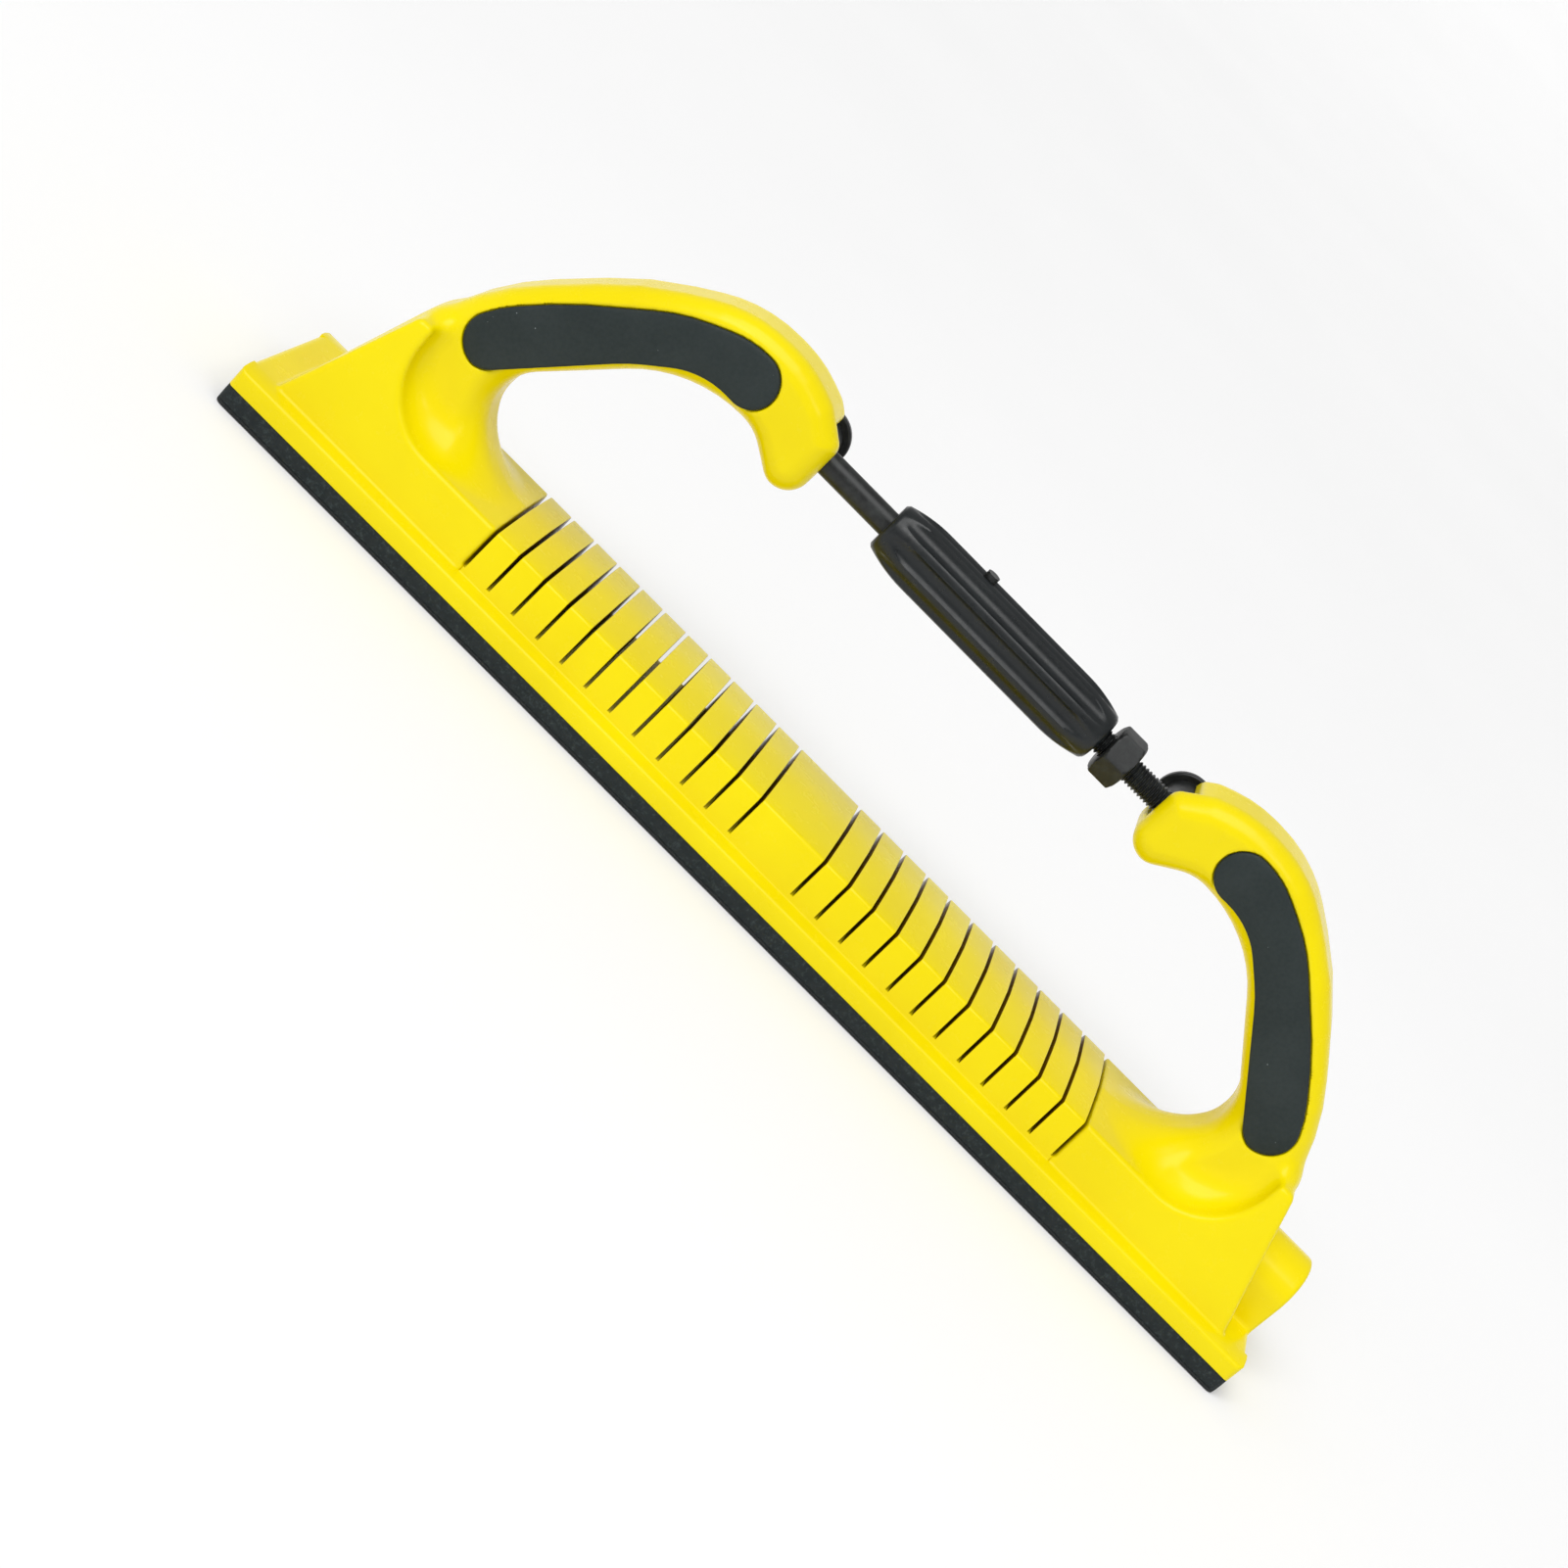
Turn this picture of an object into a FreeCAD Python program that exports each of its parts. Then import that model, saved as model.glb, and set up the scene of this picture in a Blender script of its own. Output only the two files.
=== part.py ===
import FreeCAD, Part
import math
import os
import Sketcher
from FreeCAD import Vector, Rotation, Placement

# Adjustable flexible long-board hand sander.
# Frame: +X along the board towards the dust outlet, +Y away from the user's side, +Z up.
# Origin: middle of the sanding face. All sizes in millimetres.

SIZES = [
    # the board
    ("base_length", 400.0), ("base_width", 70.0),
    ("pad_thickness", 6.4),
    ("flange_edge_height", 6.0), ("flange_slope_rise", 1.0), ("flange_edge_round", 1.6),
    ("corner_round", 2.5),
    ("flange_ledge", 5.7), ("wall_lean", 2.8), ("wall_top_height", 22.3),
    ("wall_top_round", 1.4), ("wall_foot_round", 0.8), ("ridge_rise", 1.6),
    # the kerfs that let the board bend, and the play left between the bending pieces
    ("centre_length", 25.2), ("end_block_length", 81.8), ("kerf_width", 1.1), ("kerf_floor", 8.7),
    ("split_gap", 0.4),
    # the dust channel under the board
    ("channel_wall", 9.3), ("channel_top", 6.0), ("channel_end", 22.0),
    ("dust_hole_radius", 4.0), ("dust_hole_pitch", 20.0), ("dust_hole_first", 68.0),
    ("dust_hole_side", 12.0),
    # end block: the leaning end wall and the gusset that climbs to the handle
    ("end_foot", 9.8), ("gusset_outer", 25.4), ("gusset_inner", 30.6), ("gusset_top", 48.8),
    ("gusset_root", 31.6), ("gusset_sweep", 22.5), ("gusset_outer_round", 2.6),
    ("gusset_inner_round", 1.5),
    # handle outline, outside edge from the foot up over the crown to the tip
    ("arm_foot", 14.0), ("arm_sink", 11.6),
    ("shoulder_x", 29.2), ("shoulder_z", 62.5), ("shoulder_round", 80.0),
    ("rise_x", 61.3), ("rise_z", 96.9), ("rise_round", 105.0),
    ("crown_back", 89.8), ("crown_front", 112.6), ("crown_top", 115.4),
    ("crown_back_round", 45.0), ("crown_front_round", 38.0),
    ("nose_x", 125.4), ("nose_z", 109.6), ("notch_x", 127.2), ("notch_z", 106.0),
    ("tip_top", 104.2), ("tip_round", 4.2), ("tip_face", 133.2),
    # handle outline, chin and inside edge down to the board
    ("chin_point", 76.8), ("chin_round", 7.5),
    ("palate_front", 112.2), ("palate_height", 90.4), ("palate_front_round", 13.0),
    ("palate_back", 88.1), ("palate_back_round", 44.0),
    ("throat_x", 53.2), ("throat_high", 52.0), ("throat_high_round", 16.0),
    ("throat_low", 41.2), ("throat_low_round", 14.0), ("heel_x", 66.4), ("heel_z", 19.6),
    ("arm_half_width", 13.0), ("arm_outer_round", 7.0), ("arm_inner_round", 3.0),
    ("hand_x", 90.0), ("hand_z", 53.6), ("hand_reach", 44.5),
    # grip inlay on each side of the handle
    ("grip_depth", 1.6), ("grip_proud", 0.7), ("grip_edge_round", 0.6),
    ("grip_low_x", 29.0), ("grip_low_z", 46.1), ("grip_low_round", 5.5),
    ("grip_shoulder_x", 38.5), ("grip_shoulder_z", 64.8), ("grip_shoulder_round", 40.0),
    ("grip_rise_x", 51.7), ("grip_rise_z", 79.6), ("grip_rise_round", 80.0),
    ("grip_back_x", 76.4), ("grip_back_z", 101.1), ("grip_back_round", 60.0),
    ("grip_crown_x", 95.3), ("grip_crown_z", 109.8), ("grip_crown_round", 30.0),
    ("grip_front_x", 110.8), ("grip_front_top", 110.0), ("grip_front_round", 7.0),
    ("grip_front_low", 93.1), ("grip_chin_round", 5.0),
    ("grip_palate_x", 91.5), ("grip_palate_z", 93.6), ("grip_palate_round", 25.0),
    ("grip_inside_x", 75.0), ("grip_inside_z", 80.0), ("grip_inside_round", 60.0),
    ("grip_heel_x", 46.4), ("grip_heel_z", 47.5), ("grip_heel_round", 6.0),
    # adjuster between the handle tips
    ("pivot_x", 126.0), ("pivot_z", 97.2),
    ("rod_radius", 4.0), ("thread_play", 0.06), ("rod_seat", 2.0),
    ("left_rod_tail", 6.6), ("right_rod_grip", 32.4),
    ("left_reach", 24.4), ("right_reach", 24.4), ("sleeve_radius", 10.3),
    ("sleeve_end_radius", 7.8), ("sleeve_taper", 15.0), ("sleeve_edge_round", 1.0),
    ("sleeve_taper_round", 12.0),
    ("flute_radius", 3.2), ("flute_centre", 12.3), ("flute_end", 5.4),
    ("swivel_pin_inset", 30.8), ("swivel_pin_radius", 2.1), ("swivel_pin_top", 11.6),
    ("groove_depth", 1.3), ("groove_play", 0.1),
    ("nut_gap", 3.0), ("nut_thickness", 8.8), ("nut_flats", 15.6), ("nut_chamfer", 1.1),
    # pivot barrels in the handle tips
    ("barrel_radius", 7.0), ("barrel_play", 0.06), ("barrel_near_lip", 0.7), ("head_gap", 0.35),
    ("barrel_end_play", 0.3), ("head_radius", 9.2), ("head_thickness", 2.7), ("head_round", 0.7),
    ("rod_swing_room", 1.1),
    # dust outlet
    ("outlet_half_width", 13.0), ("outlet_top", 31.4), ("outlet_arch_round", 12.8),
    ("outlet_start", 24.0), ("outlet_axis", 18.4), ("outlet_bore", 11.0),
    ("outlet_bore_depth", 28.0), ("outlet_edge_round", 1.2),
    ("well_half", 8.0), ("well_overlap", 0.5),
]
KERFS = 12          # kerfs on each side of the centre block
FLUTES = 8          # grooves round the grip sleeve

doc = FreeCAD.newDocument("LongBoardSander")
sheet = doc.addObject("Spreadsheet::Sheet", "Sizes")
for row, (alias, value) in enumerate(SIZES, start=1):
    sheet.set("A%d" % row, alias)
    sheet.set("B%d" % row, repr(value))
    sheet.setAlias("B%d" % row, alias)
doc.recompute()


class Dim:
    """A size that knows its number and the sheet expression that drives it."""

    def __init__(self, value, text):
        self.value = float(value)
        self.text = text

    def _join(self, other, sign, value, turned=False):
        other_text = other.text if isinstance(other, Dim) else repr(float(other))
        pair = (other_text, self.text) if turned else (self.text, other_text)
        return Dim(value, "(%s %s %s)" % (pair[0], sign, pair[1]))

    def __add__(self, other):
        return self._join(other, "+", self.value + number(other))

    __radd__ = __add__

    def __sub__(self, other):
        return self._join(other, "-", self.value - number(other))

    def __rsub__(self, other):
        return self._join(other, "-", number(other) - self.value, turned=True)

    def __mul__(self, other):
        return self._join(other, "*", self.value * number(other))

    __rmul__ = __mul__

    def __truediv__(self, other):
        return self._join(other, "/", self.value / number(other))

    def __neg__(self):
        return Dim(-self.value, "(0 - %s)" % self.text)


def number(item):
    return item.value if isinstance(item, Dim) else float(item)


class Named:
    pass


S = Named()
for alias, value in SIZES:
    setattr(S, alias, Dim(value, "Sizes.%s" % alias))
ZERO = Dim(0, "0")

UPRIGHT = Rotation(Vector(1, 0, 0), 90)         # sketch x, y become X, Z
ACROSS = Rotation(Vector(1, 1, 1), 120)         # sketch x, y become Y, Z
ALONG_X = Rotation(Vector(0, 1, 0), 90)         # a primitive's axis turned to +X
ALONG_Y = Rotation(Vector(1, 0, 0), -90)        # a primitive's axis turned to +Y


def bind(thing, name, dim):
    setattr(thing, name, number(dim))
    if isinstance(dim, Dim):
        thing.setExpression(name, dim.text)


def place(thing, x=ZERO, y=ZERO, z=ZERO, turn=None):
    thing.Placement = Placement(Vector(number(x), number(y), number(z)), turn or Rotation())
    for letter, dim in (("x", x), ("y", y), ("z", z)):
        if isinstance(dim, Dim) and dim.text != "0":
            thing.setExpression("Placement.Base." + letter, dim.text)


def box(name, x0, x1, y0, y1, z0, z1):
    thing = doc.addObject("Part::Box", name)
    bind(thing, "Length", x1 - x0)
    bind(thing, "Width", y1 - y0)
    bind(thing, "Height", z1 - z0)
    place(thing, x0, y0, z0)
    return thing


def rod(name, radius, length, x=ZERO, y=ZERO, z=ZERO, turn=None):
    thing = doc.addObject("Part::Cylinder", name)
    bind(thing, "Radius", radius)
    bind(thing, "Height", length)
    place(thing, x, y, z, turn)
    return thing


def cut(name, base, tool):
    thing = doc.addObject("Part::Cut", name)
    thing.Base = base
    thing.Tool = tool
    return thing


def common(name, base, tool):
    thing = doc.addObject("Part::Common", name)
    thing.Base = base
    thing.Tool = tool
    return thing


def join(name, things):
    thing = doc.addObject("Part::MultiFuse", name)
    thing.Shapes = things
    thing.Refine = True
    return thing


def mirror_x(name, source):
    thing = doc.addObject("Part::Mirroring", name)
    thing.Source = source
    thing.Base = Vector(0, 0, 0)
    thing.Normal = Vector(1, 0, 0)
    return thing


def mirror_y(name, source):
    thing = doc.addObject("Part::Mirroring", name)
    thing.Source = source
    thing.Base = Vector(0, 0, 0)
    thing.Normal = Vector(0, 1, 0)
    return thing


def outline(sketch, corners):
    """Closed outline through corners (x, y, rounding or None), every size bound to the sheet."""
    count = len(corners)
    points = [Vector(number(c[0]), number(c[1]), 0) for c in corners]
    starts, ends, arcs = [], [], []
    for i in range(count):
        here = points[i]
        back = (points[i - 1] - here).normalize()
        ahead = (points[(i + 1) % count] - here).normalize()
        rounding = corners[i][2]
        if rounding is None:
            ends.append(here)
            starts.append(here)
            arcs.append(None)
            continue
        radius = number(rounding)
        half = back.getAngle(ahead) / 2
        reach = radius / math.tan(half)
        first = here + back * reach
        last = here + ahead * reach
        centre = here + (back + ahead).normalize() * (radius / math.sin(half))
        ends.append(first)
        starts.append(last)
        left_turn = ahead.cross(back).z > 0
        low, high = (first, last) if left_turn else (last, first)
        angles = [math.atan2(p.y - centre.y, p.x - centre.x) for p in (low, high)]
        if angles[1] < angles[0]:
            angles[1] += 2 * math.pi
        circle = Part.Circle(centre, Vector(0, 0, 1), radius)
        arcs.append((Part.ArcOfCircle(circle, angles[0], angles[1]), left_turn))
    lines = []
    for i in range(count):
        line = Part.LineSegment(starts[i], ends[(i + 1) % count])
        lines.append(sketch.addGeometry(line, False))
    for i in range(count):
        before, after = lines[i - 1], lines[i]
        if arcs[i] is None:
            sketch.addConstraint(Sketcher.Constraint("Coincident", before, 2, after, 1))
            pin_point(sketch, after, 1, corners[i])
            continue
        arc = sketch.addGeometry(arcs[i][0], False)
        near, far = (1, 2) if arcs[i][1] else (2, 1)
        mark = sketch.addGeometry(Part.Point(points[i]), True)
        pin_point(sketch, mark, 1, corners[i])
        sketch.addConstraint(Sketcher.Constraint("PointOnObject", mark, 1, before))
        sketch.addConstraint(Sketcher.Constraint("PointOnObject", mark, 1, after))
        sketch.addConstraint(Sketcher.Constraint("Tangent", before, 2, arc, near))
        sketch.addConstraint(Sketcher.Constraint("Tangent", arc, far, after, 1))
        drive(sketch, Sketcher.Constraint("Radius", arc, number(corners[i][2])), corners[i][2])


def drive(sketch, constraint, dim):
    index = sketch.addConstraint(constraint)
    sketch.setExpression("Constraints[%d]" % index, dim.text)


def pin_point(sketch, item, end, corner):
    for kind, axis, dim in (("DistanceX", -2, corner[0]), ("DistanceY", -1, corner[1])):
        if abs(number(dim)) < 1e-9:
            sketch.addConstraint(Sketcher.Constraint("PointOnObject", item, end, axis))
        else:
            fixed = Sketcher.Constraint(kind, -1, 1, item, end, number(dim))
            drive(sketch, fixed, dim)


def draw(name, turn, corners):
    sketch = doc.addObject("Sketcher::SketchObject", name)
    sketch.Placement = Placement(Vector(0, 0, 0), turn)
    outline(sketch, corners)
    return sketch


def extrude(name, sketch, length):
    thing = doc.addObject("Part::Extrusion", name)
    thing.Base = sketch
    thing.DirMode = "Normal"
    thing.Solid = True
    thing.Symmetric = True
    bind(thing, "LengthFwd", length)
    return thing


def padded_body(name, turn, corners, length):
    body = doc.addObject("PartDesign::Body", name)
    sketch = body.newObject("Sketcher::SketchObject", name + "_outline")
    sketch.Placement = Placement(Vector(0, 0, 0), turn)
    outline(sketch, corners)
    pad = body.newObject("PartDesign::Pad", name + "_pad")
    pad.Profile = sketch
    pad.Midplane = True
    bind(pad, "Length", length)
    doc.recompute()
    return body, pad


def round_edges(body, name, base, radius, wanted):
    picked = []
    for number_, edge in enumerate(base.Shape.Edges, start=1):
        if wanted(edge):
            picked.append("Edge%d" % number_)
    fillet = body.newObject("PartDesign::Fillet", name)
    fillet.Base = (base, picked)
    bind(fillet, "Radius", radius)
    doc.recompute()
    return fillet


def mid(edge):
    first, last = edge.ParameterRange
    return edge.valueAt((first + last) / 2)


half_length = S.base_length / 2
half_width = S.base_width / 2


def out(distance):
    """X of a point this far in from the board's end."""
    return half_length - distance


def up(height):
    """Z of a point this far above the underside of the moulding, which sits on the pad."""
    return S.pad_thickness + height


wall_foot_half = half_width - S.flange_ledge
wall_top_half = wall_foot_half - S.wall_lean
channel_half = wall_foot_half - S.channel_wall
kerf_pitch = (half_length - S.end_block_length - S.centre_length / 2) / (KERFS - 1)
flange_edge = S.pad_thickness + S.flange_edge_height
flange_top = flange_edge + S.flange_slope_rise
last_kerf = half_length - S.end_block_length


def kerf_plane(k):
    return S.centre_length / 2 + kerf_pitch * k


# ---------------------------------------------------------------- the board, kerfed
section = draw("board_section", ACROSS, [
    (half_width, S.pad_thickness, None),
    (half_width, flange_edge, S.flange_edge_round),
    (wall_foot_half, flange_top, S.wall_foot_round),
    (wall_top_half, up(S.wall_top_height), S.wall_top_round),
    (ZERO, up(S.wall_top_height) + S.ridge_rise, None),
    (-wall_top_half, up(S.wall_top_height), S.wall_top_round),
    (-wall_foot_half, flange_top, S.wall_foot_round),
    (-half_width, flange_edge, S.flange_edge_round),
    (-half_width, S.pad_thickness, None),
])
blank = extrude("board_blank", section, 2 * last_kerf + 2 * kerf_pitch)
channel = box("channel_space", -out(S.channel_end), out(S.channel_end), -channel_half, channel_half,
              S.pad_thickness - 1.0, up(S.channel_top))
kerf_boxes = []
for side, sign in (("left", -1), ("right", 1)):
    for k in range(KERFS):
        middle = sign * kerf_plane(k)
        kerf_boxes.append(box("%s_kerf_%02d" % (side, k + 1),
                              middle - S.kerf_width / 2, middle + S.kerf_width / 2,
                              -half_width, half_width,
                              up(S.kerf_floor), up(S.wall_top_height) + S.ridge_rise + 1.0))
kerfs = join("kerf_spaces", kerf_boxes)
hollow_blank = cut("hollow_blank", blank, channel)
kerfed_blank = cut("kerfed_blank", hollow_blank, kerfs)

nodes = {}


def slice_box(name, x0, x1):
    return box(name, x0, x1, -half_width - 1.0, half_width + 1.0,
               S.pad_thickness - 1.0, up(S.wall_top_height) + S.ridge_rise + 2.0)


def dust_drill(name, x, y):
    return rod(name, S.dust_hole_radius, S.pad_thickness + 2.0, x, y, Dim(-1, "-1"))


def pad_piece(name, x0, x1):
    return box(name, x0, x1, -half_width, half_width, ZERO, S.pad_thickness)


half_gap = S.split_gap / 2
centre_end = kerf_plane(0) - half_gap
nodes["centre_block"] = common("centre_block_body", kerfed_blank,
                               slice_box("centre_slice", -centre_end, centre_end))
centre_drills = join("centre_drills", [
    dust_drill("centre_drill_1", ZERO, S.dust_hole_side),
    dust_drill("centre_drill_2", ZERO, -S.dust_hole_side),
])
nodes["pad_centre"] = cut("pad_centre_body", pad_piece("pad_centre_box", -centre_end, centre_end),
                          centre_drills)
for side, sign in (("left", -1), ("right", 1)):
    for k in range(1, KERFS):
        inner = kerf_plane(k - 1) + half_gap
        outer = kerf_plane(k) - half_gap
        x0, x1 = (inner, outer) if sign > 0 else (-outer, -inner)
        label = "%s_%02d" % (side, k)
        nodes["%s_rib_%02d" % (side, k)] = common("rib_" + label, kerfed_blank,
                                                  slice_box("slice_" + label, x0, x1))
        nodes["pad_" + label] = pad_piece("pad_box_" + label, x0, x1)

# ---------------------------------------------------------------- end pads
end_start = last_kerf + half_gap


def on_corner(edge):
    point = mid(edge)
    tall = abs(edge.Vertexes[0].Z - edge.Vertexes[-1].Z) > 1.0
    return tall and point.x > half_length.value - 0.01


def end_slab(name, z0, z1, extra=None):
    """Flat slab under one end block, with its two outer corners rounded."""
    body, pad = padded_body(name, Rotation(), [
        (end_start, -half_width, None),
        (half_length, -half_width, None),
        (half_length, half_width, None),
        (end_start, half_width, None),
    ], z1 - z0)
    place(body, ZERO, ZERO, (z0 + z1) / 2)
    last = round_edges(body, name + "_corners", pad, S.corner_round, on_corner)
    return body, last


end_pad, _ = end_slab("end_pad", ZERO, S.pad_thickness)
end_drills = []
for k in range(3):
    end_drills.append(dust_drill("end_drill_%d" % (k + 1),
                                 out(S.dust_hole_first) + S.dust_hole_pitch * k, ZERO))
nodes["pad_right_end"] = cut("pad_right_end_body", end_pad, join("end_drills", end_drills))
nodes["pad_left_end"] = mirror_x("pad_left_end_body", nodes["pad_right_end"])

# ---------------------------------------------------------------- end block
end_flange, flange_last = end_slab("end_flange", S.pad_thickness, flange_top)
flange_cover = draw("flange_cover", ACROSS, [
    (half_width, S.pad_thickness, None),
    (half_width, flange_edge, S.flange_edge_round),
    (wall_foot_half, flange_top, None),
    (-wall_foot_half, flange_top, None),
    (-half_width, flange_edge, S.flange_edge_round),
    (-half_width, S.pad_thickness, None),
])
cover = extrude("cover_prism", flange_cover, 2 * half_length + 2.0)
flange = common("flange_shaped", end_flange, cover)

gusset_profile = draw("gusset_profile", UPRIGHT, [
    (end_start, flange_top - 2.0, None),
    (out(S.end_foot) + 0.7, flange_top - 2.0, None),
    (out(S.gusset_outer), up(S.gusset_top), S.gusset_outer_round),
    (out(S.gusset_inner), up(S.gusset_top), S.gusset_inner_round),
    (out(S.gusset_root), up(S.wall_top_height), S.gusset_sweep),
    (end_start, up(S.wall_top_height), None),
])
gusset = extrude("gusset_prism", gusset_profile, S.base_width)
lean = (wall_foot_half - wall_top_half) / (up(S.wall_top_height) - flange_top)
top_lean_half = wall_foot_half - lean * (up(S.gusset_top) + 2.0 - flange_top)
foot_lean_half = wall_foot_half + lean * 3.0
drafted = draw("wall_draft", ACROSS, [
    (foot_lean_half, flange_top - 3.0, None),
    (top_lean_half, up(S.gusset_top) + 2.0, None),
    (-top_lean_half, up(S.gusset_top) + 2.0, None),
    (-foot_lean_half, flange_top - 3.0, None),
])
draft = extrude("draft_prism", drafted, 2 * half_length)
end_wall = common("end_wall", gusset, draft)
roof_prism = extrude("roof_prism", section, 2 * (out(S.gusset_root) - S.gusset_sweep))
roof_slice = slice_box("roof_slice", end_start, half_length)
roof = common("end_roof", roof_prism, roof_slice)

arm_corners = [
    (out(S.heel_x), up(S.arm_sink), None),
    (out(S.arm_foot), up(S.arm_sink), None),
    (out(S.shoulder_x), up(S.shoulder_z), S.shoulder_round),
    (out(S.rise_x), up(S.rise_z), S.rise_round),
    (out(S.crown_back), up(S.crown_top), S.crown_back_round),
    (out(S.crown_front), up(S.crown_top), S.crown_front_round),
    (out(S.nose_x), up(S.nose_z), None),
    (out(S.notch_x), up(S.notch_z), None),
    (out(S.tip_face), up(S.tip_top), S.tip_round),
    (out(S.tip_face), up(S.chin_point), S.chin_round),
    (out(S.palate_front), up(S.palate_height), S.palate_front_round),
    (out(S.palate_back), up(S.palate_height), S.palate_back_round),
    (out(S.throat_x), up(S.throat_high), S.throat_high_round),
    (out(S.throat_x), up(S.throat_low), S.throat_low_round),
    (out(S.heel_x), up(S.heel_z), None),
]
arm, arm_pad = padded_body("arm", UPRIGHT, arm_corners, 2 * S.arm_half_width)


def on_side(edge):
    return abs(abs(mid(edge).y) - S.arm_half_width.value) < 1e-3 and mid(edge).z > up(S.heel_z).value + 4


def beyond_hand(edge):
    """The handle's outside edge lies beyond this reach from the middle of the hand gap."""
    point = mid(edge)
    reach = math.hypot(point.x - out(S.hand_x).value, point.z - up(S.hand_z).value)
    return reach > S.hand_reach.value and point.x > out(S.nose_x).value


def on_outer_edge(edge):
    return on_side(edge) and beyond_hand(edge)


def on_inner_edge(edge):
    return on_side(edge) and not beyond_hand(edge)


arm_outer = round_edges(arm, "arm_outer_edges", arm_pad, S.arm_outer_round, on_outer_edge)
arm_inner = round_edges(arm, "arm_inner_edges", arm_outer, S.arm_inner_round, on_inner_edge)

# ---------------------------------------------------------------- grips
grip_corners = [
    (out(S.grip_low_x), up(S.grip_low_z), S.grip_low_round),
    (out(S.grip_shoulder_x), up(S.grip_shoulder_z), S.grip_shoulder_round),
    (out(S.grip_rise_x), up(S.grip_rise_z), S.grip_rise_round),
    (out(S.grip_back_x), up(S.grip_back_z), S.grip_back_round),
    (out(S.grip_crown_x), up(S.grip_crown_z), S.grip_crown_round),
    (out(S.grip_front_x), up(S.grip_front_top), S.grip_front_round),
    (out(S.grip_front_x), up(S.grip_front_low), S.grip_chin_round),
    (out(S.grip_palate_x), up(S.grip_palate_z), S.grip_palate_round),
    (out(S.grip_inside_x), up(S.grip_inside_z), S.grip_inside_round),
    (out(S.grip_heel_x), up(S.grip_heel_z), S.grip_heel_round),
]
grip_height = S.grip_depth + S.grip_proud
grip, grip_pad = padded_body("grip", UPRIGHT, grip_corners, grip_height)
place(grip, ZERO, S.arm_half_width - S.grip_depth + grip_height / 2, ZERO)
face_level = grip_height.value / 2


def on_grip_face(edge):
    return all(abs(v.Y - face_level) < 1e-3 for v in edge.Vertexes)


round_edges(grip, "grip_edges", grip_pad, S.grip_edge_round, on_grip_face)
grip_mirror = mirror_y("grip_near", grip)
nodes["right_grips"] = join("right_grips_pair", [grip, grip_mirror])
nodes["left_grips"] = mirror_x("left_grips_pair", nodes["right_grips"])

# ---------------------------------------------------------------- revolved pieces
def spin(name, sketch, axis, base_x, base_z):
    thing = doc.addObject("Part::Revolution", name)
    thing.Source = sketch
    thing.Axis = axis
    thing.Base = Vector(number(base_x), 0, number(base_z))
    thing.Angle = 360
    thing.Solid = True
    thing.setExpression("Base.x", base_x.text)
    thing.setExpression("Base.z", base_z.text)
    return thing


def ring_profile(name, x0, x1, inner, corners):
    """Half section of a ring about the adjuster axis; corners are (x, radius, rounding)."""
    points = [(x0, up(S.pivot_z) + inner, None)]
    points += [(x, up(S.pivot_z) + radius, rounding) for x, radius, rounding in corners]
    points += [(x1, up(S.pivot_z) + inner, None)]
    return draw(name, UPRIGHT, points)


X_AXIS = Vector(1, 0, 0)
Y_AXIS = Vector(0, 1, 0)

# the adjuster fills the space between the handle tips
sleeve_left = out(S.tip_face) - S.left_reach
sleeve_right = out(S.tip_face) - S.right_reach
swivel_pin_x = sleeve_left - S.swivel_pin_inset
left_rod_inner = swivel_pin_x - S.left_rod_tail
right_rod_inner = sleeve_right - S.right_rod_grip
nut_left = sleeve_right + S.nut_gap
barrel_near = S.rod_radius + S.barrel_near_lip
barrel_far = S.arm_half_width + S.head_gap
tip_floor = up(S.pivot_z) - S.rod_radius - S.rod_swing_room

barrel_profile = draw("barrel_profile", ACROSS, [
    (-barrel_near, up(S.pivot_z), None),
    (-barrel_near, up(S.pivot_z) + S.barrel_radius, None),
    (barrel_far, up(S.pivot_z) + S.barrel_radius, None),
    (barrel_far, up(S.pivot_z) + S.head_radius, S.head_round),
    (barrel_far + S.head_thickness, up(S.pivot_z) + S.head_radius, S.head_round),
    (barrel_far + S.head_thickness, up(S.pivot_z), None),
])
place(barrel_profile, out(S.pivot_x), ZERO, ZERO, ACROSS)
barrel_blank = spin("barrel_blank", barrel_profile, Y_AXIS, out(S.pivot_x), up(S.pivot_z))
rod_seat = rod("rod_seat", S.rod_radius, S.barrel_radius * 2,
               out(S.pivot_x) + S.rod_seat - S.barrel_radius * 2, ZERO, up(S.pivot_z), ALONG_X)
nodes["right_pivot_barrel"] = cut("right_barrel_body", barrel_blank, rod_seat)
nodes["left_pivot_barrel"] = mirror_x("left_barrel_body", nodes["right_pivot_barrel"])

nodes["right_rod"] = rod("right_rod_body", S.rod_radius,
                         out(S.pivot_x) + S.rod_seat - right_rod_inner,
                         right_rod_inner, ZERO, up(S.pivot_z), ALONG_X)
left_rod_blank = rod("left_rod_blank", S.rod_radius,
                     out(S.pivot_x) + S.rod_seat - left_rod_inner,
                     -(out(S.pivot_x) + S.rod_seat), ZERO, up(S.pivot_z), ALONG_X)
groove_half = S.swivel_pin_radius + S.groove_play
groove_profile = ring_profile(
    "groove_profile", -swivel_pin_x - groove_half, -swivel_pin_x + groove_half,
    S.rod_radius - S.groove_depth,
    [(-swivel_pin_x - groove_half, S.rod_radius + 1.0, None),
     (-swivel_pin_x + groove_half, S.rod_radius + 1.0, None)])
groove = spin("groove_ring", groove_profile, X_AXIS, ZERO, up(S.pivot_z))
nodes["left_rod"] = cut("left_rod_body", left_rod_blank, groove)

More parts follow.
